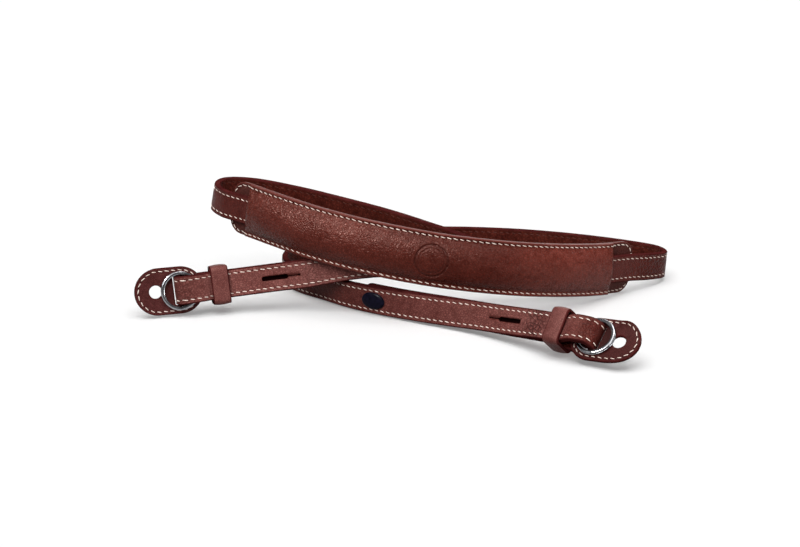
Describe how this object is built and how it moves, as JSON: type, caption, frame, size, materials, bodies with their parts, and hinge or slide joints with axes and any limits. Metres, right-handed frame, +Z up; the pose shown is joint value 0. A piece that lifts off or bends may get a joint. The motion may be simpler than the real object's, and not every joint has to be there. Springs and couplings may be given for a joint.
{
  "type": "camera strap",
  "caption": "Leather camera strap with a long shoulder pad, lying in a loose coil; each end folds through a round-ended flap with a split ring, a keeper and a button stud.",
  "frame": {"origin": "under the middle of the bounding box, on the surface the strap lies on", "axes": "+X from the left end flap to the right tip of the coil, +Y from the front of the coil to its back, +Z up"},
  "size_m": [0.2438, 0.178, 0.0535],
  "materials": {
    "strap_leather": "fine grained, satin",
    "pad_leather": "fine grained, satin, a little polished by wear",
    "lining": "matt",
    "fitting_leather": "smooth, satin",
    "ring_steel": "polished, slightly darkened",
    "thread": "matt, pale waxed thread",
    "stud_metal": "gloss, near black"
  },
  "bodies": {
    "root": {"pad_backing": "lining", "pad_cover": "pad_leather", "strap_left": "strap_leather", "strap_right": "strap_leather", "flap_left": "fitting_leather", "flap_right": "fitting_leather", "ring_left": "ring_steel", "ring_right": "ring_steel", "keeper_left": "fitting_leather", "keeper_right": "fitting_leather", "stud_left": "stud_metal", "stud_right": "stud_metal"}
  },
  "joints": []
}
